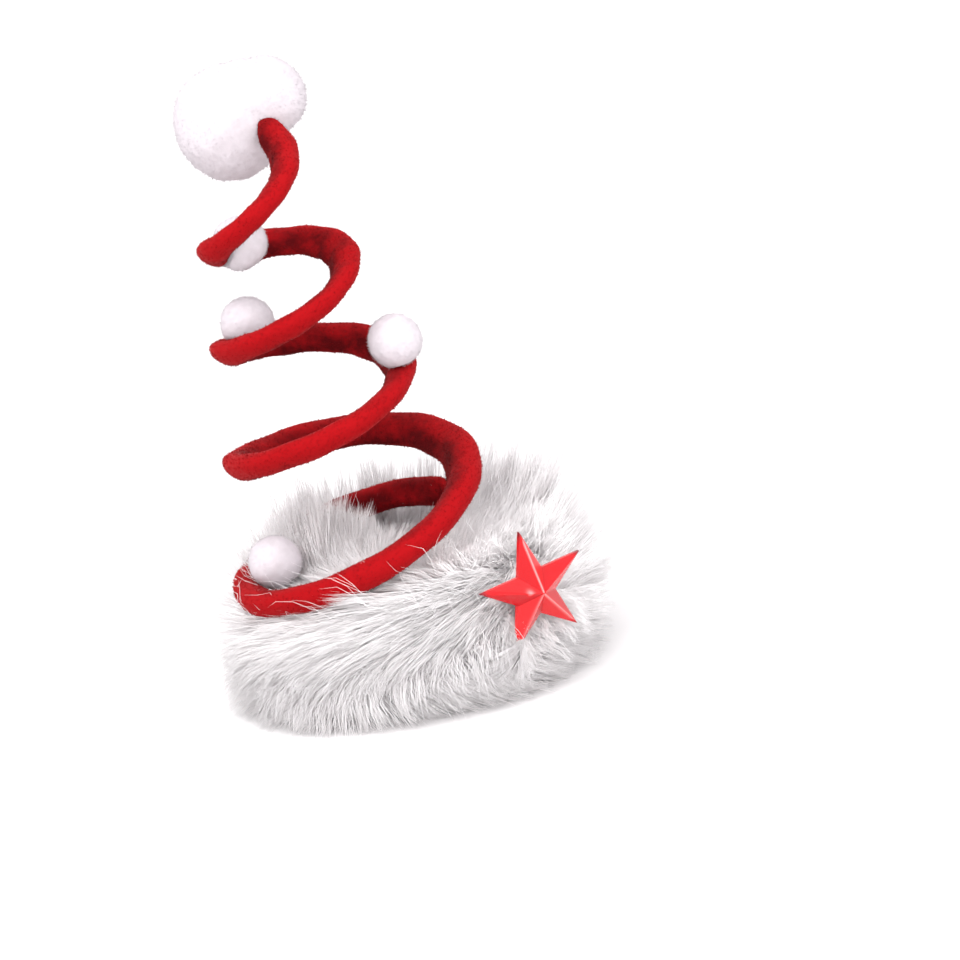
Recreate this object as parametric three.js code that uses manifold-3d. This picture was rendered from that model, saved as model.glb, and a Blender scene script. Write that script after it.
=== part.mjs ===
// A mini santa hat on a hair clip: a springy red velvet spiral stands in a nest of long white fur,
// with white pompoms on it, a large pompom at its tip, and a red plastic star on the fur.
// Millimetres, +Z up. The origin is the middle of the clip's underside, where the hat rests.
// +X is the wearer's right as seen in front view, -Y is the front.
import * as THREE from "three";
import { mergeVertices } from "three/addons/utils/BufferGeometryUtils.js";
import Module from "manifold-3d";

const wasm = await Module();
wasm.setup();
const { Manifold } = wasm;

// Clearance between neighbouring pieces.
const GAP = 0.35;

// The spiral, one row for each half turn, rising anticlockwise from the right through the back.
// radius: distance from the spiral's own axis; height: of the tube's middle above the floor;
// shift: where the axis is in X, since the spiral leans left; tip: how much higher a turn is at its back;
// wide, thin: the flattened tube's section.
const SPIRAL_START = 0.09;
const SPIRAL_END = 4.15;
const SPIRAL_ROWS = [
  { radius: 24.2, height: 31.6, shift: -10.3, tip: 6.8, wide: 6.4, thin: 5.4 },
  { radius: 24.3, height: 22.7, shift: -8.9, tip: 2.7, wide: 7.6, thin: 5.8 },
  { radius: 24.1, height: 42.2, shift: -8.5, tip: 2.4, wide: 8.4, thin: 6.0 },
  { radius: 20.5, height: 50.0, shift: -9.8, tip: 0.0, wide: 7.6, thin: 5.2 },
  { radius: 18.0, height: 65.7, shift: -11.9, tip: 0.8, wide: 7.8, thin: 5.0 },
  { radius: 15.4, height: 74.4, shift: -13.3, tip: 0.5, wide: 7.4, thin: 4.8 },
  { radius: 11.1, height: 89.7, shift: -12.3, tip: 1.1, wide: 7.6, thin: 4.8 },
  { radius: 11.8, height: 95.6, shift: -15.7, tip: 0.2, wide: 7.0, thin: 4.8 },
  { radius: 11.1, height: 112.5, shift: -20.7, tip: -1.8, wide: 6.8, thin: 5.4 },
  { radius: 18.7, height: 140.4, shift: -21.2, tip: -0.9, wide: 6.8, thin: 5.8 },
];
// The flat of the tube leans outwards at its top edge.
const SECTION_LEAN = THREE.MathUtils.degToRad(60);
const TUBE_SIDES = 10;
const TUBE_STEPS = 104;
const TUBE_LENGTH_IN_RADII = 128;

// The fur base: a dished cushion of backing and underfur, turned about Z, hollow under its middle for the clip.
const RECESS_RADIUS = 25;
const RECESS_DEPTH = 4.5;
const CUSHION_PROFILE = [
  { radius: 0, height: RECESS_DEPTH },
  { radius: RECESS_RADIUS - 1, height: RECESS_DEPTH },
  { radius: RECESS_RADIUS, height: 0 },
  { radius: 34, height: 0 },
  { radius: 37.5, height: 4 },
  { radius: 38.5, height: 10 },
  { radius: 37.5, height: 16 },
  { radius: 35, height: 21 },
  { radius: 30, height: 24.5 },
  { radius: 22, height: 25.5 },
  { radius: 12, height: 25 },
  { radius: 0, height: 24.5 },
];
const CUSHION_SIDES = 36;

// Locks of fur, one row for each ring of them. radius, height: where their roots are on the cushion;
// lift: the angle of the lock above the horizon, in degrees; swell: how much longer and more upright the locks
// are at the back and right than at the front and left; droop: how far the tip sags.
const LOCK_ROWS = [
  { count: 22, radius: 35, height: 4, length: 8, girth: 4.0, lift: -15, swell: 0.0, droop: 1.5 },
  { count: 22, radius: 36, height: 10, length: 6.5, girth: 4.2, lift: 0, swell: 0.1, droop: 2.5 },
  { count: 20, radius: 35, height: 16, length: 8.5, girth: 4.2, lift: 22, swell: 0.2, droop: 2.0 },
  { count: 18, radius: 31.5, height: 21, length: 13, girth: 4.0, lift: 48, swell: 0.38, droop: 1.5 },
  { count: 13, radius: 25.5, height: 23.5, length: 10, girth: 3.6, lift: 64, swell: 0.35, droop: 1.0 },
  { count: 8, radius: 13, height: 23, length: 7, girth: 3.6, lift: 78, swell: 0.1, droop: 0.5 },
  { count: 3, radius: 5, height: 23, length: 6.5, girth: 3.6, lift: 85, swell: 0.1, droop: 0.5 },
];
const FULLEST_SIDE = THREE.MathUtils.degToRad(55);
const SWELL_LIFT = 40;
const LOCK_SIDES = 5;

// Pompoms: each lobe is a ball, and locks stand on it.
const TIP_POMPOM = {
  lobes: [
    { x: -19.6, y: 20, z: 118.6, radius: 11.4 },
    { x: -11.8, y: 17, z: 123.0, radius: 8.0 },
    { x: -16, y: 18.6, z: 121.6, radius: 9.2 },
  ],
  locks: 16,
};
const SMALL_POMPOM_RADIUS = 5.4;
const SMALL_POMPOM_LOCKS = 9;
const SMALL_POMPOMS = [
  { name: "pompom_low_left", x: -26.8, y: -3.0, z: 29.0 },
  { name: "pompom_right", x: 6.2, y: -4.5, z: 72.0 },
  { name: "pompom_mid_left", x: -23.4, y: 1.5, z: 79.6 },
  { name: "pompom_high_left", x: -21.8, y: 1.0, z: 96.8 },
];
const POMPOM_LOCK_ROOT = 0.88;
const POMPOM_LOCK_RISE = 0.11;
const POMPOM_LOCK_GIRTH = 0.42;

// The star: a flat back with ten facets rising to its middle.
const STAR = { x: 25.1, y: -31.5, z: 22.2, reach: 12.9, waist: 5.0, edge: 1.2, peak: 5.0 };
const STAR_TURN = THREE.MathUtils.degToRad(28);
const STAR_TILT = THREE.MathUtils.degToRad(1);
const STAR_SPIN = THREE.MathUtils.degToRad(5);
const STAR_TUFT = { depth: 14, length: 18, girth: 8 };
const STAR_POINTS = 5;

// The hair clip: one strip of sprung steel folded back on itself.
const CLIP = { length: 46, width: 9, height: RECESS_DEPTH - GAP, leaf: 0.9 };

const FINISHES = {
  velvet: new THREE.MeshStandardMaterial({ color: 0xb3141c, roughness: 0.95, metalness: 0 }),
  fur: new THREE.MeshStandardMaterial({ color: 0xf4f1f2, roughness: 1, metalness: 0 }),
  pompom: new THREE.MeshStandardMaterial({ color: 0xfaf7fa, roughness: 1, metalness: 0 }),
  star: new THREE.MeshStandardMaterial({ color: 0xe8242c, roughness: 0.25, metalness: 0 }),
  steel: new THREE.MeshStandardMaterial({ color: 0xb9bcc0, roughness: 0.35, metalness: 1 }),
};

// A closed geometry as a solid that can be joined and cut.
function solidOf(geometry) {
  const bare = geometry.clone();
  bare.deleteAttribute("normal");
  bare.deleteAttribute("uv");
  const merged = mergeVertices(bare, 1e-4);
  return new Manifold(
    new wasm.Mesh({
      numProp: 3,
      vertProperties: merged.attributes.position.array,
      triVerts: new Uint32Array(merged.index.array),
    }),
  );
}

// The largest body of a solid: trimming a lock can leave its tip behind.
function largestBody(solid) {
  return solid.decompose().reduce((a, b) => (b.volume() > a.volume() ? b : a));
}

// A named mesh of a solid.
function meshOf(name, solid, finish) {
  const { vertProperties, triVerts } = solid.getMesh();
  const geometry = new THREE.BufferGeometry();
  geometry.setAttribute("position", new THREE.BufferAttribute(vertProperties, 3));
  geometry.setIndex(new THREE.BufferAttribute(triVerts, 1));
  geometry.computeVertexNormals();
  const mesh = new THREE.Mesh(geometry, finish);
  mesh.name = name;
  return mesh;
}

// Moves every vertex of a geometry by a function of its place.
function reshape(geometry, place) {
  const position = geometry.attributes.position;
  const vertex = new THREE.Vector3();
  for (let i = 0; i < position.count; i++) {
    vertex.fromBufferAttribute(position, i);
    const moved = place(vertex);
    position.setXYZ(i, moved.x, moved.y, moved.z);
  }
  return geometry;
}

// A smooth curve through three columns of the spiral's table, read by turn.
function columnCurve(...columns) {
  const points = SPIRAL_ROWS.map((row) => new THREE.Vector3(...columns.map((column) => row[column])));
  const curve = new THREE.CatmullRomCurve3(points, false, "catmullrom", 0.5);
  return (turn) => curve.getPoint((2 * turn) / (SPIRAL_ROWS.length - 1));
}
const spiralPath = columnCurve("radius", "height", "shift");
const spiralSection = columnCurve("wide", "thin", "tip");

// The spiral tube, grown by a clearance: a long capsule bent round the rising helix.
function spiralSolid(grow = 0) {
  const reach = TUBE_LENGTH_IN_RADII / 2 + 1;
  const capsule = new THREE.CapsuleGeometry(1, TUBE_LENGTH_IN_RADII, 3, TUBE_SIDES, TUBE_STEPS);
  const up = new THREE.Vector3(0, 0, 1);
  reshape(capsule, (v) => {
    const turn = SPIRAL_START + ((SPIRAL_END - SPIRAL_START) * (v.y + reach)) / (2 * reach);
    const angle = turn * 2 * Math.PI;
    const path = spiralPath(turn);
    const section = spiralSection(turn);
    const outward = new THREE.Vector3(Math.cos(angle), Math.sin(angle), 0);
    const alongFlat = outward.clone().multiplyScalar(Math.sin(SECTION_LEAN)).addScaledVector(up, Math.cos(SECTION_LEAN));
    const acrossFlat = outward.clone().multiplyScalar(Math.cos(SECTION_LEAN)).addScaledVector(up, -Math.sin(SECTION_LEAN));
    return new THREE.Vector3(path.z, 0, path.y + section.z * Math.sin(angle))
      .addScaledVector(outward, path.x)
      .addScaledVector(alongFlat, v.x * (section.x / 2 + grow))
      .addScaledVector(acrossFlat, -v.z * (section.y / 2 + grow));
  });
  return solidOf(capsule);
}

// One lock: a cone that bellies out near its root and sags towards its tip, pointing along a direction.
function lockSolid(root, direction, length, girth, droop, steps = 2) {
  const cone = new THREE.ConeGeometry(girth, length, LOCK_SIDES, steps);
  cone.translate(0, length / 2, 0);
  const turn = new THREE.Quaternion().setFromUnitVectors(new THREE.Vector3(0, 1, 0), direction);
  reshape(cone, (v) => {
    const along = v.y / length;
    const belly = 1 + 0.9 * along * (1 - along);
    const bent = new THREE.Vector3(v.x * belly, v.y, v.z * belly).applyQuaternion(turn).add(root);
    bent.z -= droop * along * along;
    return bent;
  });
  return solidOf(cone);
}

// A ring of locks round the cushion. Every other lock is a little shorter.
function lockRing(row) {
  const locks = [];
  for (let i = 0; i < row.count; i++) {
    const angle = ((i + 0.37 * row.height) * 2 * Math.PI) / row.count;
    const fullness = row.swell * Math.cos(angle - FULLEST_SIDE);
    const lift = THREE.MathUtils.degToRad(Math.min(row.lift + SWELL_LIFT * fullness, 88));
    const length = row.length * (1 + fullness) * (i % 2 ? 0.86 : 1);
    const root = new THREE.Vector3(row.radius * Math.cos(angle), row.radius * Math.sin(angle), row.height);
    const direction = new THREE.Vector3(
      Math.cos(lift) * Math.cos(angle),
      Math.cos(lift) * Math.sin(angle),
      Math.sin(lift),
    );
    locks.push(lockSolid(root.addScaledVector(direction, -1), direction, length + 1, row.girth, row.droop));
  }
  return locks;
}

// The cushion and its locks as one body, flat where it meets the floor, with a tuft to seat the star.
function furSolid() {
  const profile = CUSHION_PROFILE.map((p) => new THREE.Vector2(p.radius, p.height));
  const cushion = new THREE.LatheGeometry(profile, CUSHION_SIDES).rotateX(Math.PI / 2);
  const below = solidOf(new THREE.BoxGeometry(200, 200, 40).translate(0, 0, -20));
  const underside = new THREE.CylinderGeometry(RECESS_RADIUS - 1, RECESS_RADIUS - 1, RECESS_DEPTH, CUSHION_SIDES);
  const recess = solidOf(underside.rotateX(Math.PI / 2).translate(0, 0, RECESS_DEPTH / 2));
  const locks = LOCK_ROWS.flatMap(lockRing);
  const facing = new THREE.Vector3(0, -1, 0)
    .applyAxisAngle(new THREE.Vector3(1, 0, 0), -STAR_TILT)
    .applyAxisAngle(new THREE.Vector3(0, 0, 1), STAR_TURN);
  const seat = new THREE.Vector3(STAR.x, STAR.y, STAR.z).addScaledVector(facing, -STAR_TUFT.depth);
  locks.push(lockSolid(seat, facing, STAR_TUFT.length, STAR_TUFT.girth, 0));
  return Manifold.union([solidOf(cushion), ...locks]).subtract(below).subtract(recess);
}

// A pompom of one or more balls with blunt locks spread over each, grown by a clearance.
function pompomSolid(lobes, lockCount, grow = 0) {
  const goldenAngle = Math.PI * (3 - Math.sqrt(5));
  const parts = lobes.flatMap((lobe) => {
    const centre = new THREE.Vector3(lobe.x, lobe.y, lobe.z);
    const radius = lobe.radius + grow;
    const ball = new THREE.IcosahedronGeometry(radius, 2).translate(lobe.x, lobe.y, lobe.z);
    const locks = Array.from({ length: lockCount }, (_, i) => {
      const height = 1 - (2 * i + 1) / lockCount;
      const ring = Math.sqrt(1 - height * height);
      const direction = new THREE.Vector3(
        ring * Math.cos(i * goldenAngle),
        ring * Math.sin(i * goldenAngle),
        height,
      );
      const root = centre.clone().addScaledVector(direction, radius * POMPOM_LOCK_ROOT);
      const length = radius * (1 - POMPOM_LOCK_ROOT + POMPOM_LOCK_RISE);
      return lockSolid(root, direction, length, radius * POMPOM_LOCK_GIRTH, 0, 1);
    });
    return [solidOf(ball), ...locks];
  });
  return Manifold.union(parts);
}

// The star about its own middle, facing -Y. A grown star reaches forward too, to part the fur in front of it.
function starSolid(grow = 0, forward = 0) {
  const profile = [
    new THREE.Vector2(0, -grow),
    new THREE.Vector2(1, -grow),
    new THREE.Vector2(1, STAR.edge + forward),
    new THREE.Vector2(0, STAR.peak + forward),
  ];
  const wheel = new THREE.LatheGeometry(profile, 2 * STAR_POINTS);
  reshape(wheel, (v) => {
    const sector = Math.round((Math.atan2(v.x, v.z) * STAR_POINTS) / Math.PI);
    const size = (sector % 2 === 0 ? STAR.reach : STAR.waist) + 2 * grow;
    return new THREE.Vector3(v.x * size, v.y, v.z * size);
  });
  wheel.rotateZ(Math.PI);
  wheel.rotateY(-STAR_SPIN);
  wheel.rotateX(-STAR_TILT);
  wheel.rotateZ(STAR_TURN);
  return solidOf(wheel.translate(STAR.x, STAR.y, STAR.z));
}

// The folded strip, drawn in side view along X and extruded across its width.
function clipSolid() {
  const bend = CLIP.height / 2;
  const heel = CLIP.length / 2 - bend;
  const side = new THREE.Shape();
  side.moveTo(-CLIP.length / 2, 0);
  side.lineTo(heel, 0);
  side.absarc(heel, bend, bend, -Math.PI / 2, Math.PI / 2, false);
  side.lineTo(-CLIP.length / 2, CLIP.height);
  side.lineTo(-CLIP.length / 2, CLIP.height - CLIP.leaf);
  side.lineTo(heel, CLIP.height - CLIP.leaf);
  side.absarc(heel, bend, bend - CLIP.leaf, Math.PI / 2, -Math.PI / 2, true);
  side.lineTo(-CLIP.length / 2, CLIP.leaf);
  side.closePath();
  const strip = new THREE.ExtrudeGeometry(side, { depth: CLIP.width, bevelEnabled: false, curveSegments: 8 });
  return solidOf(strip.rotateX(Math.PI / 2).translate(0, CLIP.width / 2, 0));
}

const spiralCutter = spiralSolid(GAP);
const smallPompoms = SMALL_POMPOMS.map((p) => ({ name: p.name, lobes: [{ ...p, radius: SMALL_POMPOM_RADIUS }] }));

const fur = [
  spiralCutter,
  starSolid(GAP, 20),
  ...smallPompoms.map((p) => pompomSolid(p.lobes, SMALL_POMPOM_LOCKS, GAP)),
].reduce((solid, cutter) => solid.subtract(cutter), furSolid());

const hat = new THREE.Group();
hat.add(meshOf("fur_base", largestBody(fur), FINISHES.fur));
hat.add(meshOf("hair_clip", clipSolid(), FINISHES.steel));
hat.add(meshOf("spiral", spiralSolid(), FINISHES.velvet));
const tip = pompomSolid(TIP_POMPOM.lobes, TIP_POMPOM.locks).subtract(spiralCutter);
hat.add(meshOf("tip_pompom", largestBody(tip), FINISHES.pompom));
for (const { name, lobes } of smallPompoms) {
  const ball = pompomSolid(lobes, SMALL_POMPOM_LOCKS).subtract(spiralCutter);
  hat.add(meshOf(name, largestBody(ball), FINISHES.pompom));
}
hat.add(meshOf("star", starSolid(), FINISHES.star));

export default hat;
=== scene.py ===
import bmesh
import bpy
import numpy as np
from mathutils import Matrix, Vector


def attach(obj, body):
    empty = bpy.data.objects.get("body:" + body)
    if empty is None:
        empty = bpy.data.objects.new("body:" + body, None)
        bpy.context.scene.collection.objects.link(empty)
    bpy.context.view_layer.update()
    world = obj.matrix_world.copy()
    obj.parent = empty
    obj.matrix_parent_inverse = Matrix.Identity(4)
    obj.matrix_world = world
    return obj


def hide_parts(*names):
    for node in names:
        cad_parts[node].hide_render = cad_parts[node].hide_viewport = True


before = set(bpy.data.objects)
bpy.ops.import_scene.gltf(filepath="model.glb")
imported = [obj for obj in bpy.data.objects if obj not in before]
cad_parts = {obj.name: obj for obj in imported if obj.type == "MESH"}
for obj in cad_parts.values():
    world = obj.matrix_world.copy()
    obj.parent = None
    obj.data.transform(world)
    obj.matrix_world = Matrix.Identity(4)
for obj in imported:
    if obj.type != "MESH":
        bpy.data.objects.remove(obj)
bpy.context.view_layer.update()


# Hair clip
# A strip of nickel-plated spring steel folded back on itself, glued into the hollow under the fur base. Its
# two leaves spring together to hold the hat on.
def new_finish(name, **sockets):
    """A material whose shader has the given constant sockets set. Returns it, its node tree and shader."""
    material = bpy.data.materials.new(name)
    material.use_nodes = True
    tree = material.node_tree
    shader = tree.nodes["Principled BSDF"]
    for socket, value in sockets.items():
        shader.inputs[socket.replace("_", " ")].default_value = value
    return material, tree, shader


def add_node(tree, kind, **values):
    """A node of that kind with its properties, or else its input sockets, set by name."""
    node = tree.nodes.new(kind)
    for name, value in values.items():
        if hasattr(node, name):
            setattr(node, name, value)
        else:
            node.inputs[name.replace("_", " ")].default_value = value
    return node


def object_noise(tree, scale, detail=3.0, stretch=(1, 1, 1)):
    """Noise on the piece's own coordinates, stretched by a Mapping node. Returns the value socket."""
    place = add_node(tree, "ShaderNodeTexCoord")
    mapping = add_node(tree, "ShaderNodeMapping", Scale=stretch)
    noise = add_node(tree, "ShaderNodeTexNoise", Scale=scale, Detail=detail)
    tree.links.new(place.outputs["Object"], mapping.inputs["Vector"])
    tree.links.new(mapping.outputs["Vector"], noise.inputs["Vector"])
    return noise.outputs["Fac"]


def paint(tree, shader, value, low, high, start=0.3, end=0.7):
    """Base colour from a value, by a ramp from one colour to another. Returns the ramp."""
    node = add_node(tree, "ShaderNodeValToRGB")
    ramp = node.color_ramp
    ramp.elements[0].position = start
    ramp.elements[0].color = (*low, 1)
    ramp.elements[1].position = end
    ramp.elements[1].color = (*high, 1)
    tree.links.new(value, node.inputs["Fac"])
    tree.links.new(node.outputs["Color"], shader.inputs["Base Color"])
    return ramp


def roughen(tree, shader, value, strength, distance):
    """Bump from a value, in metres of depth."""
    bump = add_node(tree, "ShaderNodeBump", Strength=strength, Distance=distance)
    tree.links.new(value, bump.inputs["Height"])
    tree.links.new(bump.outputs["Normal"], shader.inputs["Normal"])


steel, tree, shader = new_finish("nickel_plated_steel", Metallic=1.0, Roughness=0.32)
brushing = object_noise(tree, 900, stretch=(0.05, 1, 1))
paint(tree, shader, brushing, (0.50, 0.51, 0.53), (0.68, 0.69, 0.71))
roughen(tree, shader, brushing, 0.15, 0.00005)
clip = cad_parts["hair_clip"]
clip.data.materials.clear()
clip.data.materials.append(steel)


# Backing of the fur base
# A padded disc of white backing cloth with its underwool, turned up at its rim and hollow underneath for the
# clip. The pile that hides it is made last, combed round all that stands in it.
# Columns run from the middle of the underside round the rim to the middle of the top.
MM = 0.001
BACKING = {
    "radius": (0.0, 24.0, 24.6, 28.0, 31.0, 32.5, 32.0, 29.5, 25.5, 19.0, 10.0, 0.0),
    "height": (4.6, 4.6, 0.6, 0.5, 2.2, 7.0, 13.0, 18.0, 21.2, 22.4, 22.2, 22.0),
}


def unit(vectors):
    """Vectors made one long."""
    return vectors / (np.linalg.norm(vectors, axis=-1, keepdims=True) + 1e-9)


def read_column(column, place):
    """A column of a table read at a place between its entries, which are counted from 0."""
    return np.interp(place, np.arange(len(column)), column)


def put_mesh(name, material, points, faces, tone=None, facing=None):
    """A new object at the origin from whole arrays: points in millimetres, faces of three or four corners,
    and for each point a shade from 0 to 1 and the way it faces the light, where its faces don't say that."""
    mesh = bpy.data.meshes.new(name)
    mesh.vertices.add(len(points))
    mesh.vertices.foreach_set("co", np.ravel(points * MM).astype(np.float32))
    mesh.loops.add(faces.size)
    mesh.loops.foreach_set("vertex_index", np.ravel(faces).astype(np.int32))
    mesh.polygons.add(len(faces))
    mesh.polygons.foreach_set("loop_start", np.arange(0, faces.size, faces.shape[1], dtype=np.int32))
    mesh.update(calc_edges=True)
    mesh.shade_smooth()
    if tone is not None:
        shades = mesh.attributes.new("tone", "FLOAT_COLOR", "POINT")
        shades.data.foreach_set("color", np.repeat(tone, 4).astype(np.float32))
    if facing is not None:
        mesh.normals_split_custom_set_from_vertices(unit(facing))
    mesh.materials.append(material)
    piece = bpy.data.objects.new(name, mesh)
    bpy.context.scene.collection.objects.link(piece)
    return piece


def grid_faces(rows, columns):
    """Four-cornered faces of a grid whose columns close on themselves, facing out when a point goes
    anticlockwise along its row as the rows rise."""
    row, column = np.meshgrid(np.arange(rows - 1), np.arange(columns), indexing="ij")
    here = row * columns + column
    beside = row * columns + (column + 1) % columns
    return np.stack([here, beside, beside + columns, here + columns], axis=-1).reshape(-1, 4)


def close_poles(piece):
    """Merges the points that meet at a grid's two ends, so the mesh is closed there."""
    shell = bmesh.new()
    shell.from_mesh(piece.data)
    bmesh.ops.remove_doubles(shell, verts=shell.verts, dist=1e-6)
    bmesh.ops.dissolve_degenerate(shell, edges=shell.edges, dist=1e-7)
    bmesh.ops.recalc_face_normals(shell, faces=shell.faces)
    shell.to_mesh(piece.data)
    shell.free()
    piece.data.shade_smooth()


def fixed_to_hat(piece, slot, *nodes):
    """The piece goes with the hat and stands for those nodes. The slot is not used."""
    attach(piece, "root")
    if nodes:
        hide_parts(*nodes)


def turned_backing(steps=120, rings=44):
    """The backing's profile turned about Z: radius and height are read along the profile, and the radius
    swells by two low waves round the disc."""
    along = np.linspace(0, len(BACKING["radius"]) - 1, rings)[:, None]
    angle = np.linspace(0, 2 * np.pi, steps, endpoint=False)[None, :]
    swell = 1 + 0.012 * np.sin(5 * angle) + 0.008 * np.sin(11 * angle + 1)
    radius = read_column(BACKING["radius"], along) * swell
    height = read_column(BACKING["height"], along) + 0 * angle
    points = np.stack([radius * np.cos(angle), radius * np.sin(angle), height], axis=-1)
    return points.reshape(-1, 3), grid_faces(rings, steps)


underwool, tree, shader = new_finish("white_underwool", Roughness=0.95)
matted = object_noise(tree, 420, detail=5)
paint(tree, shader, matted, (0.72, 0.68, 0.71), (0.90, 0.88, 0.89))
roughen(tree, shader, matted, 0.6, 0.0006)
backing = put_mesh("fur_backing", underwool, *turned_backing())
close_poles(backing)
fixed_to_hat(backing, "fur", "fur_base")


# Spiral
# A tube of short-pile red velvet over a springy wire, pressed a little flat, that winds up in about four
# turns, leaning left and thinning as it rises. Its foot lies in the fur.
# Columns have an entry for each half turn. shift: where the spiral's axis is in X; tip: how much higher a
# turn is at its back; wide, thin: the tube's section. Roundings and places along the tube are in turns.
SPIRAL_START = 0.09
SPIRAL_END = 4.15
SPIRAL_ROWS = {
    "radius": (24.2, 24.3, 24.1, 20.5, 18.0, 15.4, 11.1, 11.8, 11.1, 18.7),
    "height": (31.6, 22.7, 42.2, 50.0, 65.7, 74.4, 89.7, 95.6, 112.5, 140.4),
    "shift": (-10.3, -8.9, -8.5, -9.8, -11.9, -13.3, -12.3, -15.7, -20.7, -21.2),
    "tip": (6.8, 2.7, 2.4, 0.0, 0.8, 0.5, 1.1, 0.2, -1.8, -0.9),
    "wide": (6.4, 7.6, 8.4, 7.6, 7.8, 7.4, 7.6, 7.0, 6.8, 6.8),
    "thin": (5.4, 5.8, 6.0, 5.2, 5.0, 4.8, 4.8, 4.8, 5.4, 5.8),
}
SECTION_LEAN = np.radians(60)
FOOT_ROUNDING = 0.022
TIP_ROUNDING = 0.05
CREASE = {"depth": 0.13, "around": 4.0, "width": 0.28}
NAP = {"lean": 0.45, "reach": (0.2, 0.5), "sunk": 0.15, "half_width": 0.10, "uneven": 0.12}
UPWARD = np.array([0.0, 0.0, 1.0])


def by_turn(column, turn):
    """A column of the spiral's table, read between its entries by a Catmull-Rom cubic."""
    rows = np.array(SPIRAL_ROWS[column])
    rows = np.concatenate([[2 * rows[0] - rows[1]], rows, [2 * rows[-1] - rows[-2]]])
    place = np.clip(2 * turn, 0, len(rows) - 3 - 1e-6)
    i = place.astype(int)
    f = place - i
    before, here, after, beyond = rows[i], rows[i + 1], rows[i + 2], rows[i + 3]
    cubic = 3 * (here - after) + beyond - before
    square = 2 * before - 5 * here + 4 * after - beyond
    return here + 0.5 * f * (after - before + f * (square + f * cubic))


def spiral_frame(turn):
    """The tube's middle line, and the two directions of its section: along the flat, which leans outwards at
    its top edge, and across the flat, which points down and out."""
    angle = 2 * np.pi * turn
    outward = np.stack([np.cos(angle), np.sin(angle), 0 * angle], axis=-1)
    middle = by_turn("radius", turn)[..., None] * outward
    middle[..., 0] += by_turn("shift", turn)
    middle[..., 2] += by_turn("height", turn) + by_turn("tip", turn) * np.sin(angle)
    along = np.sin(SECTION_LEAN) * outward + np.cos(SECTION_LEAN) * UPWARD
    across = np.cos(SECTION_LEAN) * outward - np.sin(SECTION_LEAN) * UPWARD
    return middle, along, across


def dome(share):
    """Height of a quarter circle, from 0 at its foot to 1 at its top and past it."""
    return np.sqrt(1 - (1 - np.clip(share, 0, 1)) ** 2)


def spiral_skin(turn, around):
    """A point of the velvet: an ellipse carried along the middle line, rounded off at both ends, with a
    crease pressed into its inner face and slow lumps where the filling is uneven."""
    middle, along, across = spiral_frame(turn)
    rounding = dome((turn - SPIRAL_START) / FOOT_ROUNDING) * dome((SPIRAL_END - turn) / TIP_ROUNDING)
    lumps = 0.035 * np.sin(31 * turn + 2 * around) + 0.03 * np.sin(67 * turn - around + 1)
    crease = CREASE["depth"] * np.exp(-(((around - CREASE["around"]) / CREASE["width"]) ** 2))
    size = rounding * (1 + lumps - crease)
    long_half = 0.5 * by_turn("wide", turn) * size * np.cos(around)
    short_half = 0.5 * by_turn("thin", turn) * size * np.sin(around)
    return middle + long_half[..., None] * along + short_half[..., None] * across


def outward_on_spiral(turn, around):
    """The direction straight out of the velvet, from the ellipse's two sizes."""
    _, along, across = spiral_frame(turn)
    steep_along = (np.cos(around) / by_turn("wide", turn))[..., None] * along
    steep_across = (np.sin(around) / by_turn("thin", turn))[..., None] * across
    return unit(steep_along + steep_across)


def painted_shade_and_streaks(turn, around):
    """Shade of the velvet, from 0 to 1: painted shade, dark on the tube's inner face and bright on its outer
    one, as the light falls, with slow streaks along it."""
    # Painted shade: brightest at the outer top edge of the section, darkest on its inner lower face.
    side = 0.5 + 0.5 * np.cos(around - 0.5)
    streaks = 0.10 * np.sin(23 * turn + 3 * around) + 0.08 * np.sin(57 * turn - 2 * around)
    return np.clip(0.15 + 0.75 * side + streaks, 0, 1)


def tube_grid(steps=640, sides=24):
    """The velvet's skin on a grid: turns along the tube, closer together at both ends, by angles round it.
    Returns points, faces and a shade for each point."""
    even = np.linspace(0, 1, steps)
    eased = even - 0.12 * np.sin(2 * np.pi * even) / (2 * np.pi)
    turn = SPIRAL_START + (SPIRAL_END - SPIRAL_START) * eased
    around = np.linspace(0, 2 * np.pi, sides, endpoint=False)
    turn, around = np.meshgrid(turn, around, indexing="ij")
    tone = painted_shade_and_streaks(turn, around).ravel()
    return spiral_skin(turn, around).reshape(-1, 3), grid_faces(steps, sides), tone


def three_round(side, other):
    """Three directions a third of a turn apart, in the plane of two that are square to each other."""
    spin = np.arange(3)[:, None] * 2 * np.pi / 3
    return np.cos(spin) * side[..., None, :] + np.sin(spin) * other[..., None, :]


def velvet_nap(count, seed):
    """Short tufts standing out of the velvet: three-sided points with their roots spread evenly along the
    tube, leaning a little at random. Returns points, faces and a shade for each point."""
    chance = np.random.default_rng(seed)
    turns = np.linspace(SPIRAL_START, SPIRAL_END, 2000)
    step = np.linalg.norm(np.diff(spiral_frame(turns)[0], axis=0), axis=1)
    length_so_far = np.concatenate([[0], np.cumsum(step)])
    turn = np.interp(chance.random(count) * length_so_far[-1], length_so_far, turns)
    around = chance.random(count) * 2 * np.pi
    root = spiral_skin(turn, around)
    stand = unit(outward_on_spiral(turn, around) + NAP["lean"] * chance.normal(size=(count, 3)))
    side = unit(np.cross(stand, chance.normal(size=(count, 3))))
    reach = chance.uniform(*NAP["reach"], count)[:, None]
    ring = NAP["half_width"] * three_round(side, np.cross(stand, side))
    foot = (root - NAP["sunk"] * stand)[:, None] + ring
    points = np.concatenate([foot, (root + reach * stand)[:, None]], axis=1).reshape(-1, 3)
    corner = np.array([[0, 1, 3], [1, 2, 3], [2, 0, 3], [2, 1, 0]])
    faces = (4 * np.arange(count)[:, None, None] + corner).reshape(-1, 3)
    # Each tuft takes the velvet's painted shade where it stands, with a random tone of its own.
    tone = np.repeat(painted_shade_and_streaks(turn, around) + NAP["uneven"] * chance.normal(size=count), 4)
    return points, faces, tone


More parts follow.
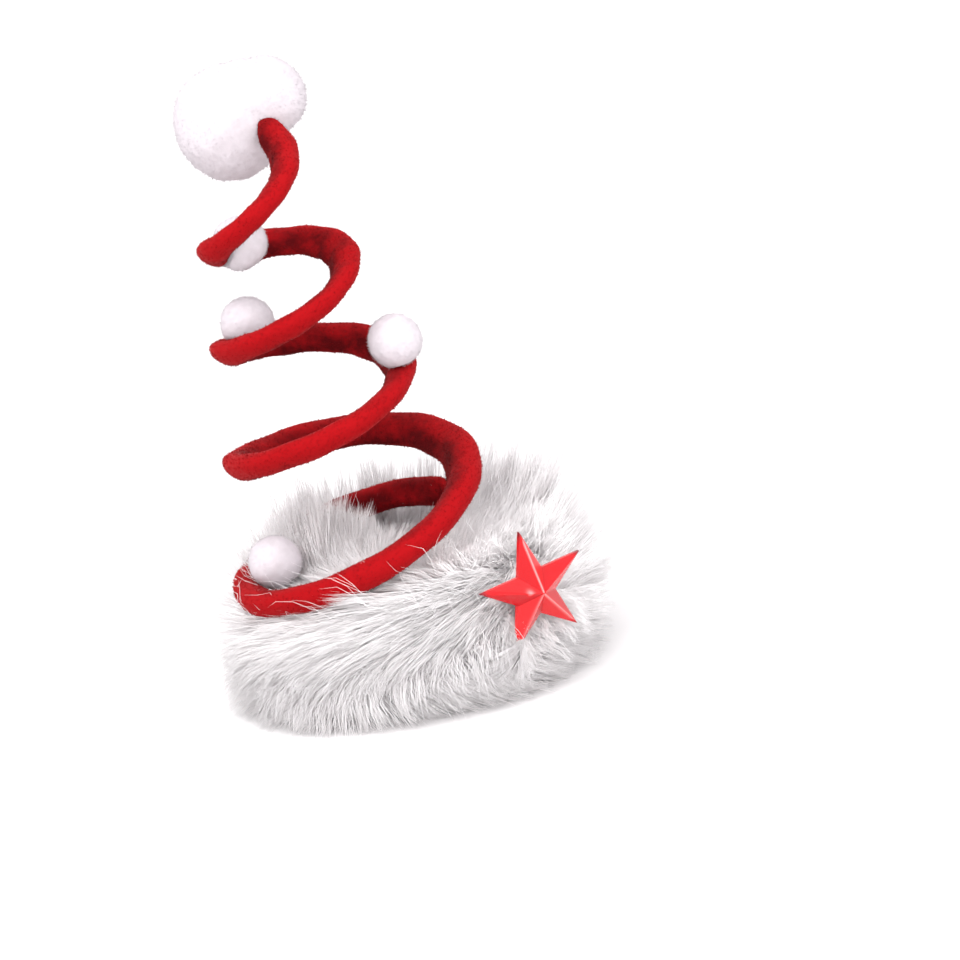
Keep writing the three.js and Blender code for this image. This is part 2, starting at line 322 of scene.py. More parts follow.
def stored_tone(tree):
    """The shade that put_mesh stored on each point. Returns the value socket."""
    return add_node(tree, "ShaderNodeAttribute", attribute_name="tone").outputs["Fac"]


VELVET_LOOK = {
    "Roughness": 0.9,
    "Specular_IOR_Level": 0.06,
    "Sheen_Weight": 0.1,
    "Sheen_Roughness": 0.4,
    "Sheen_Tint": (1.0, 0.2, 0.2, 1),
}
velvet, tree, shader = new_finish("red_velvet", **VELVET_LOOK)
mottle = object_noise(tree, 650, detail=6)
# The stored tone carries the painted shade of the tube's faces and its streaks; the mottle adds speckles.
speckled = add_node(tree, "ShaderNodeMath", operation="MULTIPLY_ADD")
speckled.inputs[1].default_value = 0.6
tree.links.new(mottle, speckled.inputs[0])
tree.links.new(stored_tone(tree), speckled.inputs[2])
paint(tree, shader, speckled.outputs["Value"], (0.062, 0.001, 0.002), (0.27, 0.003, 0.005), 0.35, 1.0)
roughen(tree, shader, mottle, 0.5, 0.0004)
spiral = put_mesh("spiral_velvet", velvet, *tube_grid())
close_poles(spiral)
fixed_to_hat(spiral, "velvet", "spiral")

nap, tree, shader = new_finish("red_velvet_nap", **VELVET_LOOK)
# The stored tone is the velvet's painted shade, with a random tone for each tuft.
paint(tree, shader, stored_tone(tree), (0.075, 0.001, 0.002), (0.295, 0.003, 0.006), 0.0, 1.0)
fixed_to_hat(put_mesh("spiral_nap", nap, *velvet_nap(22000, seed=3)), "velvet")


# Small pompoms
# Four balls of dense white yarn pile, each glued to the velvet, which presses into it.
# The columns of YARN have an entry for the root, the middle and the tip of a fibre.
SMALL_POMPOM_RADIUS = 6.0
SMALL_POMPOMS = {
    "pompom_low_left": (-26.8, -3.0, 29.0),
    "pompom_right": (6.2, -4.5, 72.0),
    "pompom_mid_left": (-23.4, 1.5, 79.6),
    "pompom_high_left": (-21.8, 1.0, 96.8),
}
WHOLE_SPIRAL = (SPIRAL_START, SPIRAL_END)
YARN = {
    "wander": (0.0, 0.35, 1.0),
    "half_width": (0.15, 0.15, 0.05),
    # shade: painted shade, darker at a fibre's root, deep in the pile, than at its tip.
    "shade": (0.40, 0.75, 0.95),
}
YARN_LEAN = 0.06
YARN_BEND = 0.14
YARN_ENDS = (0.972, 1.0)
PILE_CLEARANCE = 0.1
CORE_CLEARANCE = 0.2


def clear_of_spiral(points, clearance, turns, per_turn=140, batch=4000):
    """Moves points out of a stretch of the tube: each is measured in the section at its nearest place on the
    middle line, and one inside the section's ellipse, grown by the clearance, goes straight out to its edge.
    Past an end of the stretch the section shrinks as a dome does. Points go in batches, to spare memory."""
    first, last = turns
    turn = np.linspace(first, last, int(per_turn * (last - first)) + 2)
    middle, along, across = spiral_frame(turn)
    flat = points.reshape(-1, 3).copy()
    for part in np.array_split(np.arange(len(flat)), max(1, len(flat) // batch)):
        away = flat[part, None] - middle
        nearest = np.argmin((away**2).sum(axis=-1), axis=1)
        offset = away[np.arange(len(part)), nearest]
        u = (offset * along[nearest]).sum(axis=1)
        v = (offset * across[nearest]).sum(axis=1)
        half_u = 0.5 * by_turn("wide", turn[nearest]) + clearance
        half_v = 0.5 * by_turn("thin", turn[nearest]) + clearance
        beyond = offset - u[:, None] * along[nearest] - v[:, None] * across[nearest]
        at_end = (nearest == 0) | (nearest == len(turn) - 1)
        past_end = np.where(at_end, np.linalg.norm(beyond, axis=1) / half_v, 0)
        depth = np.sqrt((u / half_u) ** 2 + (v / half_v) ** 2 + past_end**2)
        push = np.where(depth < 1, 1 / np.maximum(depth, 0.15) - 1, 0)
        flat[part] += (push * u)[:, None] * along[nearest] + (push * v)[:, None] * across[nearest]
    return flat.reshape(points.shape)


def spread_directions(count):
    """Directions spread evenly over a ball, each a golden angle round from the last."""
    step = np.arange(count)
    height = 1 - (2 * step + 1) / count
    angle = step * np.pi * (3 - np.sqrt(5))
    ring = np.sqrt(1 - height**2)
    return np.stack([ring * np.cos(angle), ring * np.sin(angle), height], axis=-1)


def strand_mesh(paths, half_width):
    """Closed three-sided strands along paths: a ring of three points at each place but the last, where the
    strand comes to a point, and a face across its root. half_width has one value for each strand and place.
    Returns points, faces and the way each point faces, out of its strand."""
    count, places, _ = paths.shape
    heading = unit(np.gradient(paths, axis=1))
    side = unit(np.cross(heading, np.array([0.31, 0.17, 0.93])))
    other = np.cross(heading, side)
    ring = three_round(side[:, :-1], other[:, :-1])
    rings = paths[:, :-1, None] + half_width[:, :-1, None, None] * ring
    points = np.concatenate([rings.reshape(count, -1, 3), paths[:, -1:]], axis=1)
    own = np.concatenate([ring.reshape(count, -1, 3), heading[:, -1:]], axis=1)
    corner = np.arange(3)
    beside = (corner + 1) % 3
    start = 3 * np.arange(places - 2)[:, None]
    low, low_beside = start + corner, start + beside
    lower = np.stack([low, low_beside, low_beside + 3], axis=-1)
    upper = np.stack([low, low_beside + 3, low + 3], axis=-1)
    walls = np.concatenate([lower, upper]).reshape(-1, 3)
    last = 3 * (places - 2)
    tip = np.stack([last + corner, last + beside, np.full(3, last + 3)], axis=-1)
    one = np.concatenate([walls, tip, [[2, 1, 0]]])
    faces = (np.arange(count)[:, None, None] * (last + 4) + one).reshape(-1, 3)
    return points.reshape(-1, 3), faces, own.reshape(-1, 3)


def along_strands(root_to_tip):
    """One shade for each point of strand_mesh from one value for each strand and place."""
    rings = np.repeat(root_to_tip[:, :-1], 3, axis=1)
    return np.clip(np.concatenate([rings, root_to_tip[:, -1:]], axis=1).ravel(), 0, 1)


def lobe_lumps(out, radius):
    """How far a lobe reaches along a direction, as a share of its radius: slow lumps with smaller ones on
    them."""
    x, y, z = np.moveaxis(out, -1, 0)
    slow = 0.03 * np.sin(3 * x + 2 * y) * np.cos(4 * z + 1)
    small = 0.015 * np.sin(11 * x + radius) * np.sin(9 * y) * np.cos(10 * z)
    return 1 + slow + small


def yarn_pile(lobes, fibres, reach, seed, turns):
    """The fibres of a pompom: each starts inside a lobe and runs straight out with a little wander and an
    uneven end, clear of the tube. It takes the light as the lobe's round does, so the ball looks soft.
    Returns points, faces, shades and the way each point faces."""
    chance = np.random.default_rng(seed)
    share = np.array([radius**2 for _, _, _, radius in lobes])
    counts = (fibres * share / share.sum()).astype(int)
    paths, lobe_out = [], []
    for (*centre, radius), count in zip(lobes, counts):
        out = unit(spread_directions(count) + YARN_LEAN * chance.normal(size=(count, 3)))
        end = radius * lobe_lumps(out, radius) * chance.uniform(*YARN_ENDS, count)
        start = end - reach
        bend = YARN_BEND * chance.normal(size=(count, 3))
        stretch = np.stack([start, 0.5 * (start + end), end], axis=1)[..., None]
        wander = np.array(YARN["wander"])[:, None] * bend[:, None]
        paths.append(np.array(centre) + stretch * out[:, None] + wander)
        lobe_out.append(out)
    paths = clear_of_spiral(np.concatenate(paths), PILE_CLEARANCE, turns)
    count = len(paths)
    width = np.array(YARN["half_width"]) * chance.uniform(0.7, 1.2, count)[:, None]
    points, faces, own = strand_mesh(paths, width)
    facing = np.repeat(np.concatenate(lobe_out), len(own) // count, axis=0) + 0.25 * own
    shade = np.array(YARN["shade"]) + 0.08 * chance.normal(size=count)[:, None]
    return points, faces, along_strands(shade), facing


def ball_core(lobes, inset, turns, rings, steps):
    """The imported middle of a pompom: over a grid of latitude and longitude about the first lobe, the
    furthest lumpy surface of any lobe along each ray, drawn in by the inset, and further in where the tube
    dents it. A lobe's size depends on the direction in which the ray meets it, so it is found in three
    rounds."""
    first = np.array(lobes[0][:3])
    latitude = np.linspace(0, np.pi, rings)[:, None]
    longitude = np.linspace(0, 2 * np.pi, steps, endpoint=False)[None, :]
    x = np.sin(latitude) * np.cos(longitude)
    y = np.sin(latitude) * np.sin(longitude)
    ray = np.stack([x, y, -np.cos(latitude) + 0 * longitude], axis=-1)
    reach = np.zeros(ray.shape[:2])
    for *centre, radius in lobes:
        offset = np.array(centre) - first
        towards = ray @ offset
        size = radius - inset
        for _ in range(3):
            inside = towards**2 - offset @ offset + size**2
            hit = np.where(inside > 0, towards + np.sqrt(np.maximum(inside, 0)), 0)
            size = radius * lobe_lumps(unit(hit[..., None] * ray - offset), radius) - inset
        reach = np.maximum(reach, hit)
    for _ in range(12):
        points = first + reach[..., None] * ray
        pushed = np.abs(clear_of_spiral(points, CORE_CLEARANCE, turns) - points).max(axis=-1)
        reach = np.where(pushed > 0.01, 0.93 * reach, reach)
    return (first + reach[..., None] * ray).reshape(-1, 3), grid_faces(rings, steps)


packed, tree, shader = new_finish("packed_yarn", Roughness=0.95)
packing = object_noise(tree, 700, detail=4)
paint(tree, shader, packing, (0.48, 0.45, 0.475), (0.53, 0.495, 0.525))
roughen(tree, shader, packing, 0.35, 0.0003)
yarn, tree, shader = new_finish("white_yarn_pile", Roughness=0.75, Sheen_Weight=0.2)
# The stored shade is painted shade, greyer towards the fibres' roots.
paint(tree, shader, stored_tone(tree), (0.38, 0.352, 0.375), (0.50, 0.47, 0.495), 0.0, 1.0)


def add_pompom(node, lobes, inset, fibres, reach, seed, turns, rings, steps):
    """A pompom's packed middle, which stands for its node, and the pile on it."""
    core = put_mesh(node + "_core", packed, *ball_core(lobes, inset, turns, rings, steps))
    close_poles(core)
    fixed_to_hat(core, "pompom", node)
    pile = put_mesh(node + "_pile", yarn, *yarn_pile(lobes, fibres, reach, seed, turns))
    fixed_to_hat(pile, "pompom")


for order, (node, place) in enumerate(SMALL_POMPOMS.items()):
    add_pompom(
        node,
        [(*place, SMALL_POMPOM_RADIUS)],
        inset=0.4,
        fibres=2200,
        reach=2.4,
        seed=20 + order,
        turns=WHOLE_SPIRAL,
        rings=28,
        steps=44,
    )


# Tip pompom
# A large pompom of the same yarn, sewn to the end of the tube. A large and a small lobe run together in it.
# Each lobe has its x, y, z and radius. The end of the tube, which is sewn in, makes no dent.
TIP_LOBES = [(-19.6, 20.0, 118.6, 12.8), (-11.8, 17.0, 123.0, 9.2), (-16.0, 18.6, 121.6, 10.4)]
LAST_TURN = (3.6, SPIRAL_END - 0.05)

add_pompom(
    "tip_pompom",
    TIP_LOBES,
    inset=0.6,
    fibres=10000,
    reach=3.4,
    seed=40,
    turns=LAST_TURN,
    rings=44,
    steps=66,
)


# Star
# A moulded star of clear red plastic with ten facets, a softened edge and a pale spot beside its middle.
# Its flat back is glued to the fur, which covers its lowest tip.
# STAR_RIM goes across the flat back and round the edge. share: of the way out; height: above the back.
# The ridge highlight table holds the strength of the painted highlight along each arm's crest, from the top
# arm clockwise.
STAR_PLACE = np.array([25.1, -31.5, 22.2])
STAR_REACH = 12.9
STAR_WAIST = 5.0
STAR_EDGE = 1.2
STAR_PEAK = 5.0
STAR_RIM = {
    "share": (0, 0.5, 0.93, 0.975, 0.995, 1, 1, 0.99, 0.96),
    "height": (0, 0, 0, 0.03, 0.12, 0.3, 0.95, 1.12, 1.26),
}
PAINTED_RIDGE_HIGHLIGHT = np.array([0.42, 0.00, 0.30, 0.20, 0.00])
STAR_PALE_SPOT = {"x": -2.6, "z": 0.9, "radius": 0.6}
RIDGE_HIGHLIGHT_WIDTH = 0.25
DARK_FROM = 0.84
ARM_TURN = 2 * np.pi / 5
LOWEST_TIP = 3 * ARM_TURN
star_turn = Matrix.Rotation(np.radians(28), 3, "Z")
star_tilt = Matrix.Rotation(np.radians(-1), 3, "X")
star_spin = Matrix.Rotation(np.radians(-5), 3, "Y")
star_axes = np.array(star_turn @ star_tilt @ star_spin)


def from_star(local):
    """Points given in the star's own axes, from the middle of its back, as points of the hat."""
    return local @ star_axes.T + STAR_PLACE


def star_outline(angle):
    """Distance from the middle to the straight edge between a tip and the notch beside it, at an angle from
    straight up."""
    half = ARM_TURN / 2
    within = np.abs((angle + half) % ARM_TURN - half)
    notch = STAR_WAIST * np.array([np.sin(half), np.cos(half)])
    edge = notch - np.array([0, STAR_REACH])
    return STAR_REACH * edge[0] / (edge[0] * np.cos(within) - edge[1] * np.sin(within))


def moulded_star(steps=180, rings=26):
    """The star on a polar grid: across the flat back, round the edge and up the facets to a blunt middle. A
    facet's height falls evenly from the peak to the edge. The shade is dark at the tips and pale at a spot
    beside the middle, with painted highlights along the crests and painted shade that makes one facet of
    each arm lighter than the other. Returns points, faces and shades."""
    angle = np.linspace(0, 2 * np.pi, steps, endpoint=False)
    up_facet = np.linspace(0.9, 0.06, rings)
    facet = STAR_EDGE + (STAR_PEAK - STAR_EDGE) * (1 - up_facet)
    share = np.concatenate([STAR_RIM["share"], up_facet, [0.03, 0.0]])
    height = np.concatenate([STAR_RIM["height"], facet, facet[-1] + np.array([0.05, 0.06])])
    away = share[:, None] * star_outline(angle)
    x = away * np.sin(angle)
    z = away * np.cos(angle)
    points = from_star(np.stack([x, -height[:, None] + 0 * angle, z], axis=-1).reshape(-1, 3))
    from_ridge = (angle + ARM_TURN / 2) % ARM_TURN - ARM_TURN / 2
    # A painted highlight along each arm's crest, stronger on some arms than on others.
    highlight_strength = PAINTED_RIDGE_HIGHLIGHT[((angle + ARM_TURN / 2) // ARM_TURN).astype(int) % 5]
    ridge_highlight = highlight_strength * np.exp(-((away * np.sin(from_ridge) / RIDGE_HIGHLIGHT_WIDTH) ** 2))
    at_tip = np.clip((away / STAR_REACH - DARK_FROM) / (1 - DARK_FROM), 0, 1)
    to_pale_spot = np.hypot(x - STAR_PALE_SPOT["x"], z - STAR_PALE_SPOT["z"])
    pale_spot = 0.35 * np.exp(-((to_pale_spot / STAR_PALE_SPOT["radius"]) ** 2))
    # Painted shade: one facet of each arm is painted lighter than the other.
    painted_facet_shade = 0.06 * np.clip(from_ridge / 0.06, -1, 1)
    tone = 0.5 + painted_facet_shade + (ridge_highlight + pale_spot) * (1 - at_tip) - 0.45 * at_tip
    return points, grid_faces(len(share), steps), tone.ravel()


star_plastic, tree, shader = new_finish(
    "clear_red_plastic",
    Roughness=0.12,
    Specular_IOR_Level=0.25,
    Subsurface_Weight=0.25,
    Subsurface_Radius=(1.0, 0.10, 0.08),
    Subsurface_Scale=0.002,
)
ramp = paint(tree, shader, stored_tone(tree), (0.06, 0.010, 0.015), (0.53, 0.007, 0.010), 0.05, 0.55)
# The palest colour is reached only by the painted crest highlights and the pale spot.
ramp.elements.new(1.0).color = (0.70, 0.33, 0.33, 1)
star = put_mesh("star_moulding", star_plastic, *moulded_star())
close_poles(star)
star.data.shade_flat()
fixed_to_hat(star, "star_plastic", "star")


# Fur pile
# Long white pile knitted into the backing and combed by hand: it falls over the rim, sweeps round the front,
# stands up behind the spiral, and lies in the nest inside the lowest turn. A lock's strands lean together.
# Columns run from the rim's underside to the middle of the nest, and a strand's place along them is its
# station. out, up, round: the way the pile is combed, away from the middle, upwards and anticlockwise.
ROOTS = {
    "radius": (29.0, 32.0, 31.5, 28.5, 24.5, 15.0, 1.0),
    "height": (1.0, 6.0, 12.0, 17.5, 21.0, 22.0, 21.8),
}
COMB_FRONT = {
    "out": (0.60, 0.60, 0.48, 0.34, 0.30, 0.10, 0.00),
    "up": (-0.05, 0.00, 0.10, 0.26, 0.42, 0.60, 0.80),
    "round": (0.90, 0.65, -0.20, -0.90, -1.10, -0.40, 0.00),
    "length": (10.0, 12.5, 16.0, 18.5, 17.0, 11.0, 10.0),
    "sag": (0.35, 0.55, 0.70, 0.60, 0.42, 0.30, 0.30),
}
COMB_BACK = {
    "out": (0.45, 0.42, 0.42, 0.40, 0.25, 0.05, 0.00),
    "up": (0.10, 0.45, 0.90, 1.40, 0.85, 0.90, 0.80),
    "round": (0.10, 0.05, -0.05, -0.15, -0.30, -0.25, 0.00),
    "length": (8.0, 11.0, 19.0, 26.5, 14.0, 10.5, 9.5),
    "sag": (0.45, 0.50, 0.35, 0.18, 0.25, 0.20, 0.30),
}
BACK_SIDE = np.radians(80)
SWEEP_SIDE = np.radians(300)
TALL_NEST = np.radians(165)
NARROW_SIDE = np.radians(345)
FULL_SIDE = np.radians(20)
OPEN_NEST = np.radians(102)
UNDER_TUBE = np.radians(208)
TUFT_SIDES = np.radians([228, 298])
STAR_SIDE = np.arctan2(STAR_PLACE[1], STAR_PLACE[0])
STAR_PRESS = {"radius": 38, "height": 16, "reach": 12}
STAR_TUFT = {"radius": 31, "drop": 5, "lowest": 5, "highest": 19}
NEST_LEAN = np.array([0.45, 0.25, 0.0])
RIM_REACH = 42
TURNS_IN_FUR = (SPIRAL_START, 1.3)
FUR_CLEARANCE = 0.25
LOW_POMPOM_IN_FUR = 5.6
FLOOR_CLEARANCE = 0.15
PILE_MIDDLE = np.array([0.0, 0.0, -12.0])


def near_side(angle, side, width):
    """1 at a side of the hat, falling off round the hat as a bell curve of that width."""
    apart = np.angle(np.exp(1j * (angle - side)))
    return np.exp(-((apart / width) ** 2))


def facing_side(angle, side):
    """The cosine of the angle from a side of the hat, or 0 on the far half."""
    return np.clip(np.cos(angle - side), 0, 1)


def near_row(station, row):
    """1 near a row of roots, falling evenly to 0 at 1.6 rows from it."""
    return np.clip(1.6 - np.abs(station - row), 0, 1)


def combed_paths(station, angle, chance, looseness, places, lift=0.0):
    """Paths of strands from their roots on the backing. A strand sets off as the comb's tables say for its
    station, the back table more the nearer it is to the back, then bends down under its weight. The lowest
    rows are swept both ways from one side and end in two longer tufts, the nest is open before the tube's
    foot and tall at the left, the right side is fuller, and the star and the tube's lowest bend press the
    pile behind them short."""
    radius = read_column(ROOTS["radius"], station)
    height = read_column(ROOTS["height"], station)
    back = np.clip(0.5 + 0.8 * np.cos(angle - BACK_SIDE), 0, 1)
    out, up, swirl, length, weight = (
        (1 - back) * read_column(COMB_FRONT[c], station) + back * read_column(COMB_BACK[c], station)
        for c in COMB_FRONT
    )
    low = np.clip(3 - station, 0, 1)
    swirl = swirl * (1 - low + low * np.cos(angle - SWEEP_SIDE))
    narrow = 0.35 * facing_side(angle, NARROW_SIDE) ** 2 * np.clip(2 - station, 0, 1)
    full = facing_side(angle, FULL_SIDE) ** 3 * near_row(station, 2.6)
    tuft = near_side(angle[:, None], TUFT_SIDES, 0.18).max(axis=1) * np.clip(1.5 - station, 0, 1)
    opened = near_side(angle, OPEN_NEST, 0.55) * np.clip(2 * station - 7.4, 0, 1)
    under = near_side(angle, UNDER_TUBE, 0.4) * near_row(station, 4)
    in_nest = np.clip(station - 4, 0, 1)
    tall = in_nest * facing_side(angle, TALL_NEST) * np.clip(radius / 14, 0, 1)
    beside_star = near_side(angle, STAR_SIDE, STAR_PRESS["reach"] / STAR_PRESS["radius"])
    level_with_star = np.exp(-(((height - STAR_PRESS["height"]) / STAR_PRESS["reach"]) ** 2))
    pressed = 1 - 0.1 * beside_star * level_with_star

    outward = np.stack([np.cos(angle), np.sin(angle), 0 * angle], axis=-1)
    round_about = np.stack([-np.sin(angle), np.cos(angle), 0 * angle], axis=-1)
    root = radius[:, None] * outward + height[:, None] * UPWARD
    rise = up + 0.5 * tall + lift
    spread = out * (1 - narrow) + 0.15 * full
    set_off = spread[:, None] * outward + rise[:, None] * UPWARD + swirl[:, None] * round_about
    set_off = set_off + (in_nest * (1 - 0.7 * tall))[:, None] * NEST_LEAN
    set_off = unit(set_off + looseness * chance.normal(size=set_off.shape))
    sag = -weight[:, None] * UPWARD + 0.35 * swirl[:, None] * round_about
    sag = sag + 0.6 * looseness * chance.normal(size=set_off.shape)
    length = length * pressed * (1 + 0.4 * lift) * (1 - 0.7 * opened) * (1 - 0.55 * under)
    length = length + 6.5 * tall * (1 - opened) + 4 * tuft + 3 * full
    length = length * chance.uniform(0.78, 1.12, len(station))
    t = np.linspace(0, 1, places)[:, None]
    return root[:, None] + length[:, None, None] * (t * set_off[:, None] + 0.5 * t**2 * sag[:, None])


def scatter_roots(count, chance):
    """Stations and angles of roots spread evenly over the backing: a station is drawn by its ring's area."""
    fine = np.linspace(0, len(ROOTS["radius"]) - 1, 400)
    radius = read_column(ROOTS["radius"], fine)
    height = read_column(ROOTS["height"], fine)
    area = np.concatenate([[0], np.cumsum(radius[1:] * np.hypot(np.diff(radius), np.diff(height)))])
    station = np.interp(chance.random(count) * area[-1], area, fine)
    return station, chance.random(count) * 2 * np.pi


def clear_of_ball(points, centre, radius):
    """Moves points that are inside a ball straight out to its surface."""
    away = points - np.array(centre)
    distance = np.linalg.norm(away, axis=-1, keepdims=True)
    return np.where(distance < radius, np.array(centre) + away * radius / np.maximum(distance, 0.5), points)


def clear_of_star(points):
    """Presses the pile into a dimple round the star: points within its outline go to just behind its back,
    and further out they may stand before it, more so with their distance from the outline, which is drawn in
    at the lowest tip."""
    local = (points - STAR_PLACE) @ star_axes
    angle = np.arctan2(local[..., 0], local[..., 2])
    covered = 6.0 * near_side(angle, LOWEST_TIP, 0.25)
    outside = np.hypot(local[..., 0], local[..., 2]) - star_outline(angle) + covered - 0.6
    local[..., 1] = np.maximum(local[..., 1], 0.3 - 1.6 * np.maximum(outside, 0) ** 1.2)
    return from_star(local)


def fur_mesh(paths, chance, thickness=0.085):
    """Strands on paths that are parted by the star, the low pompom, the spiral and the floor, and drawn in
    where they reach past the rim. They take the light partly as the whole pile does, which is rounded and
    faces up, because real fibres let light through. Returns points, faces, shades and the way each point
    faces."""
    count, places, _ = paths.shape
    wide = np.hypot(paths[..., 0], paths[..., 1])
    past_rim = np.maximum(wide - RIM_REACH, 0)
    paths[..., :2] *= (1 - 0.5 * past_rim / np.maximum(wide, 1))[..., None]
    paths = clear_of_star(paths)
    paths = clear_of_ball(paths, SMALL_POMPOMS["pompom_low_left"], LOW_POMPOM_IN_FUR)
    paths = clear_of_spiral(paths, FUR_CLEARANCE, TURNS_IN_FUR)
    paths[..., 2] = np.maximum(paths[..., 2], FLOOR_CLEARANCE)
    taper = thickness * np.linspace(1, 0, places) ** 0.4 + 0.01
    points, faces, own = strand_mesh(paths, taper * chance.uniform(0.65, 1.15, count)[:, None])
    facing = unit(points - PILE_MIDDLE) + 0.45 * own
    # Painted shade: each strand is darker at its root, deep in the pile, than at its tip, with a random tone
    # for each strand.
    shade = np.linspace(0.35, 1.0, places) + 0.15 * chance.normal(size=count)[:, None]
    return points, faces, along_strands(shade), facing


def fur_locks(count, locks, seed, places=4):
    """Strands gathered in locks: each strand follows its own combed path, drawn towards the path of the
    nearest lock, more so at its tip. Strands look for their lock in batches, to spare memory."""
    chance = np.random.default_rng(seed)
    lock_station, lock_angle = scatter_roots(locks, chance)
    lock_paths = combed_paths(lock_station, lock_angle, chance, looseness=0.11, places=places)
    station, angle = scatter_roots(count, chance)
    paths = combed_paths(station, angle, chance, looseness=0.08, places=places)
    nearest = np.empty(count, int)
    for part in np.array_split(np.arange(count), 20):
        apart = paths[part, None, 0] - lock_paths[None, :, 0]
        nearest[part] = np.argmin((apart**2).sum(axis=-1), axis=1)
    offset = paths[:, :1] - lock_paths[nearest][:, :1]
    t = np.linspace(0, 1, places)[:, None]
    own_lock = lock_paths[nearest] + offset * (1 - 0.5 * t**1.3)
    loose = 0.6 * (chance.random(count) ** 2)[:, None, None] * t
    paths = own_lock * (1 - loose) + paths * loose
    return fur_mesh(paths + 0.35 * t * chance.normal(size=(count, 1, 3)), chance)


def nest_tuft(count, seed, places=4):
    """Longer strands at the back left of the nest, which stand before the tube and hide it there."""
    chance = np.random.default_rng(seed)
    station = chance.uniform(3.8, 4.9, count)
    angle = np.radians(chance.uniform(139, 190, count))
    lift = 0.5 + 0.4 * chance.random(count)
    paths = combed_paths(station, angle, chance, looseness=0.16, places=places, lift=lift)
    return fur_mesh(paths, chance)


def star_tuft(count, seed, places=4):
    """Strands that stand out from the backing to the star's back, which is glued to their tips: each ends at
    a place within the star's outline and starts straight behind it, a little lower."""
    chance = np.random.default_rng(seed)
    turn = 2 * np.pi * chance.random(count)
    away = 0.8 * star_outline(turn) * np.sqrt(chance.random(count))
    tip = from_star(np.stack([away * np.sin(turn), np.full(count, 0.5), away * np.cos(turn)], axis=-1))
    angle = np.arctan2(tip[:, 1], tip[:, 0])
    foot = np.clip(tip[:, 2] - STAR_TUFT["drop"], STAR_TUFT["lowest"], STAR_TUFT["highest"])
    radius = STAR_TUFT["radius"]
    root = np.stack([radius * np.cos(angle), radius * np.sin(angle), foot], axis=-1)
    t = np.linspace(0, 1, places)[:, None]
    sway = np.sin(np.pi * t) * chance.normal(size=(count, 1, 3))
    return fur_mesh(root[:, None] + t * (tip - root)[:, None] + sway, chance)


def tip_cover(count, seed, places=6):
    """Strands that come out of the pile beside the star's lowest arm and fall across the end of it, to the
    left or straight down: in the star's own axes each rises before the arm and sinks into the pile again."""
    chance = np.random.default_rng(seed)
    lowest_arm = np.array([np.sin(LOWEST_TIP), np.cos(LOWEST_TIP)])
    crossing = STAR_REACH * chance.uniform(0.76, 1.06, count)[:, None] * lowest_arm
    fall = np.radians(chance.uniform(10, 105, count))
    heading = -np.stack([np.cos(fall), np.sin(fall)], axis=-1)
    t = np.linspace(0, 1, places)[:, None]
    ahead = (chance.uniform(10, 14, count)[:, None, None] * t - 4) * heading[:, None] + crossing[:, None]
    forward = 2.5 - 17 * t * (1.05 - t) + 0.4 * chance.normal(size=(count, 1, 1))
    paths = np.concatenate([ahead[..., :1], forward, ahead[..., 1:]], axis=-1)
    return fur_mesh(from_star(paths), chance, thickness=0.07)


def stray_strands(count, seed, places=6):
    """Loose strands that the comb missed: they stand up out of the top rows, some over the velvet."""
    chance = np.random.default_rng(seed)
    station = chance.uniform(2.2, 5.0, count)
    angle = chance.random(count) * 2 * np.pi
    lift = chance.random(count)
    paths = combed_paths(station, angle, chance, looseness=0.35, places=places, lift=lift)
    t = np.linspace(0, 1, places)[:, None]
    curl = 1.6 * t * np.sin(5 * t + 6 * chance.random((count, 1, 1))) * chance.normal(size=(count, 1, 3))
    return fur_mesh(paths + curl, chance, thickness=0.045)


fur_fibre, tree, shader = new_finish(
    "white_fur_fibre",
    Roughness=0.6,
    Specular_IOR_Level=0.25,
    Subsurface_Weight=0.7,
    Subsurface_Radius=(1.0, 0.97, 0.98),
    Subsurface_Scale=0.0012,
)
# The stored shade is painted shade, a little darker and pinker at the strands' roots.
paint(tree, shader, stored_tone(tree), (0.945, 0.885, 0.89), (0.995, 0.952, 0.96), 0.0, 1.0)
for layer in range(4):
    locks = fur_locks(9200, 600, seed=60 + layer)
    fixed_to_hat(put_mesh(f"fur_pile_{layer + 1}", fur_fibre, *locks), "fur")
fixed_to_hat(put_mesh("fur_nest_tuft", fur_fibre, *nest_tuft(1000, seed=68)), "fur")
fixed_to_hat(put_mesh("fur_star_tuft", fur_fibre, *star_tuft(700, seed=69)), "fur")
fixed_to_hat(put_mesh("fur_tip_cover", fur_fibre, *tip_cover(400, seed=71)), "fur")
fixed_to_hat(put_mesh("fur_stray_strands", fur_fibre, *stray_strands(800, seed=70)), "fur")


# Floor, light and camera
# A pale floor under the hat, one large soft lamp above it and a second one in front, which fills the
# shadows. The camera has a long lens and looks from a little above, turned as the photo is.
FLOOR_HALF = 3000
LAMPS_FACE = (0, 0, 50)
CAMERA_FACES = np.array([18.5, 0.0, 38.0])
CAMERA_HEIGHT = np.radians(16)
CAMERA_ROLL = np.radians(10)
CAMERA_DISTANCE = 900
MM_IN_FRAME = 201.6
SENSOR = 36

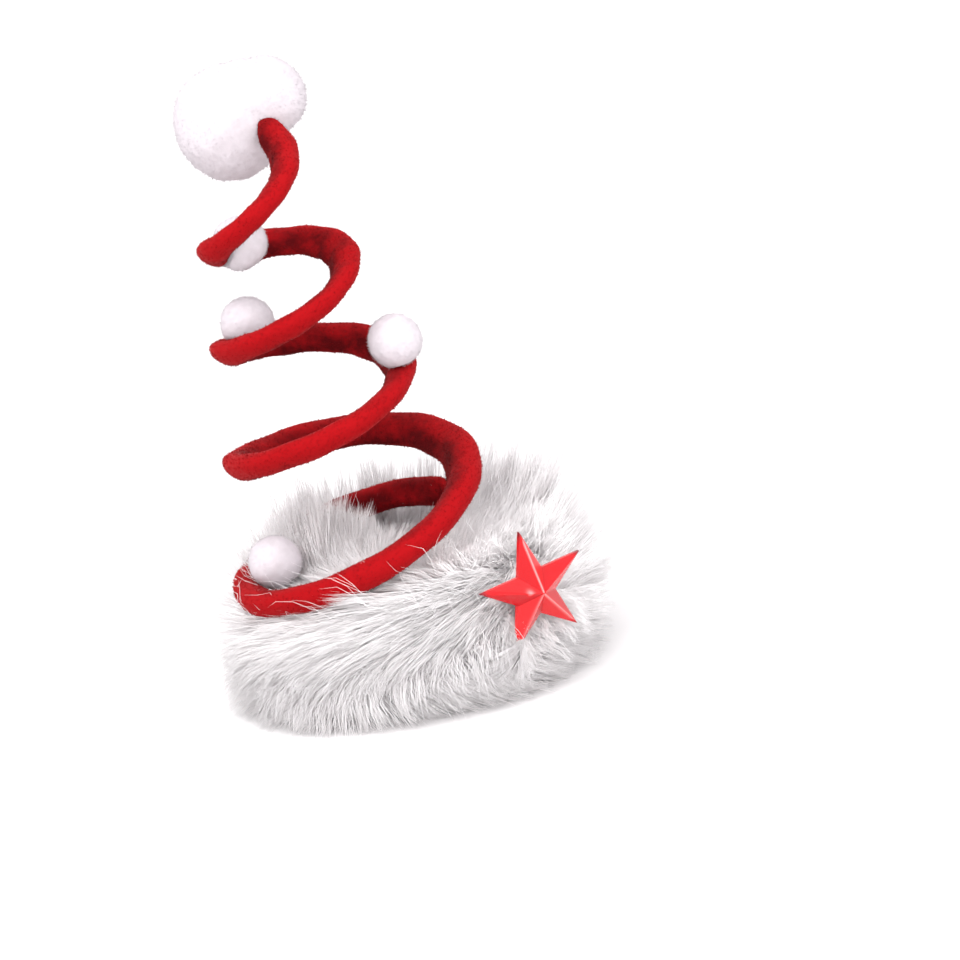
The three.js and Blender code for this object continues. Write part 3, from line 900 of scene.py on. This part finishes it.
floor_white, tree, shader = new_finish("pale_floor", Roughness=0.9)
grain = object_noise(tree, 6, detail=2)
paint(tree, shader, grain, (0.66, 0.66, 0.66), (0.68, 0.68, 0.68))
corners = FLOOR_HALF * np.array([[-1.0, -1, 0], [1, -1, 0], [1, 1, 0], [-1, 1, 0]])
put_mesh("floor", floor_white, corners, np.array([[0, 1, 2, 3]]))


def soft_lamp(name, place, size, watts):
    """A square area lamp that faces the hat. Its place and size are in millimetres."""
    lamp = bpy.data.lights.new(name, "AREA")
    lamp.size = size * MM
    lamp.energy = watts
    holder = bpy.data.objects.new(name, lamp)
    holder.location = Vector(place) * MM
    holder.rotation_euler = (Vector(LAMPS_FACE) - Vector(place)).to_track_quat("-Z", "Y").to_euler()
    bpy.context.scene.collection.objects.link(holder)


soft_lamp("key_lamp", place=(-300, -350, 800), size=700, watts=5.5)
soft_lamp("fill_lamp", place=(250, -900, 400), size=700, watts=6.0)
world = bpy.data.worlds.new("studio")
bpy.context.scene.world = world
world.use_nodes = True
background = world.node_tree.nodes["Background"]
background.inputs["Color"].default_value = (1, 0.965, 0.98, 1)
background.inputs["Strength"].default_value = 1.55

back = np.array([0, -np.cos(CAMERA_HEIGHT), np.sin(CAMERA_HEIGHT)])
level = np.array([1.0, 0.0, 0.0])
rise = np.cross(back, level)
right = np.cos(CAMERA_ROLL) * level - np.sin(CAMERA_ROLL) * rise
up = np.sin(CAMERA_ROLL) * level + np.cos(CAMERA_ROLL) * rise
eye = (CAMERA_FACES + CAMERA_DISTANCE * back) * MM
lens = bpy.data.cameras.new("camera")
lens.sensor_width = SENSOR
lens.lens = SENSOR * CAMERA_DISTANCE / MM_IN_FRAME
lens.clip_start = 0.05
camera = bpy.data.objects.new("camera", lens)
axes = np.stack([right, up, back], axis=1)
camera.matrix_world = Matrix.Translation(eye) @ Matrix(axes.tolist()).to_4x4()
bpy.context.scene.collection.objects.link(camera)
bpy.context.scene.camera = camera

bpy.context.scene.view_settings.view_transform = "Standard"
bpy.context.scene.cycles.diffuse_bounces = 16
bpy.context.scene.cycles.max_bounces = 20
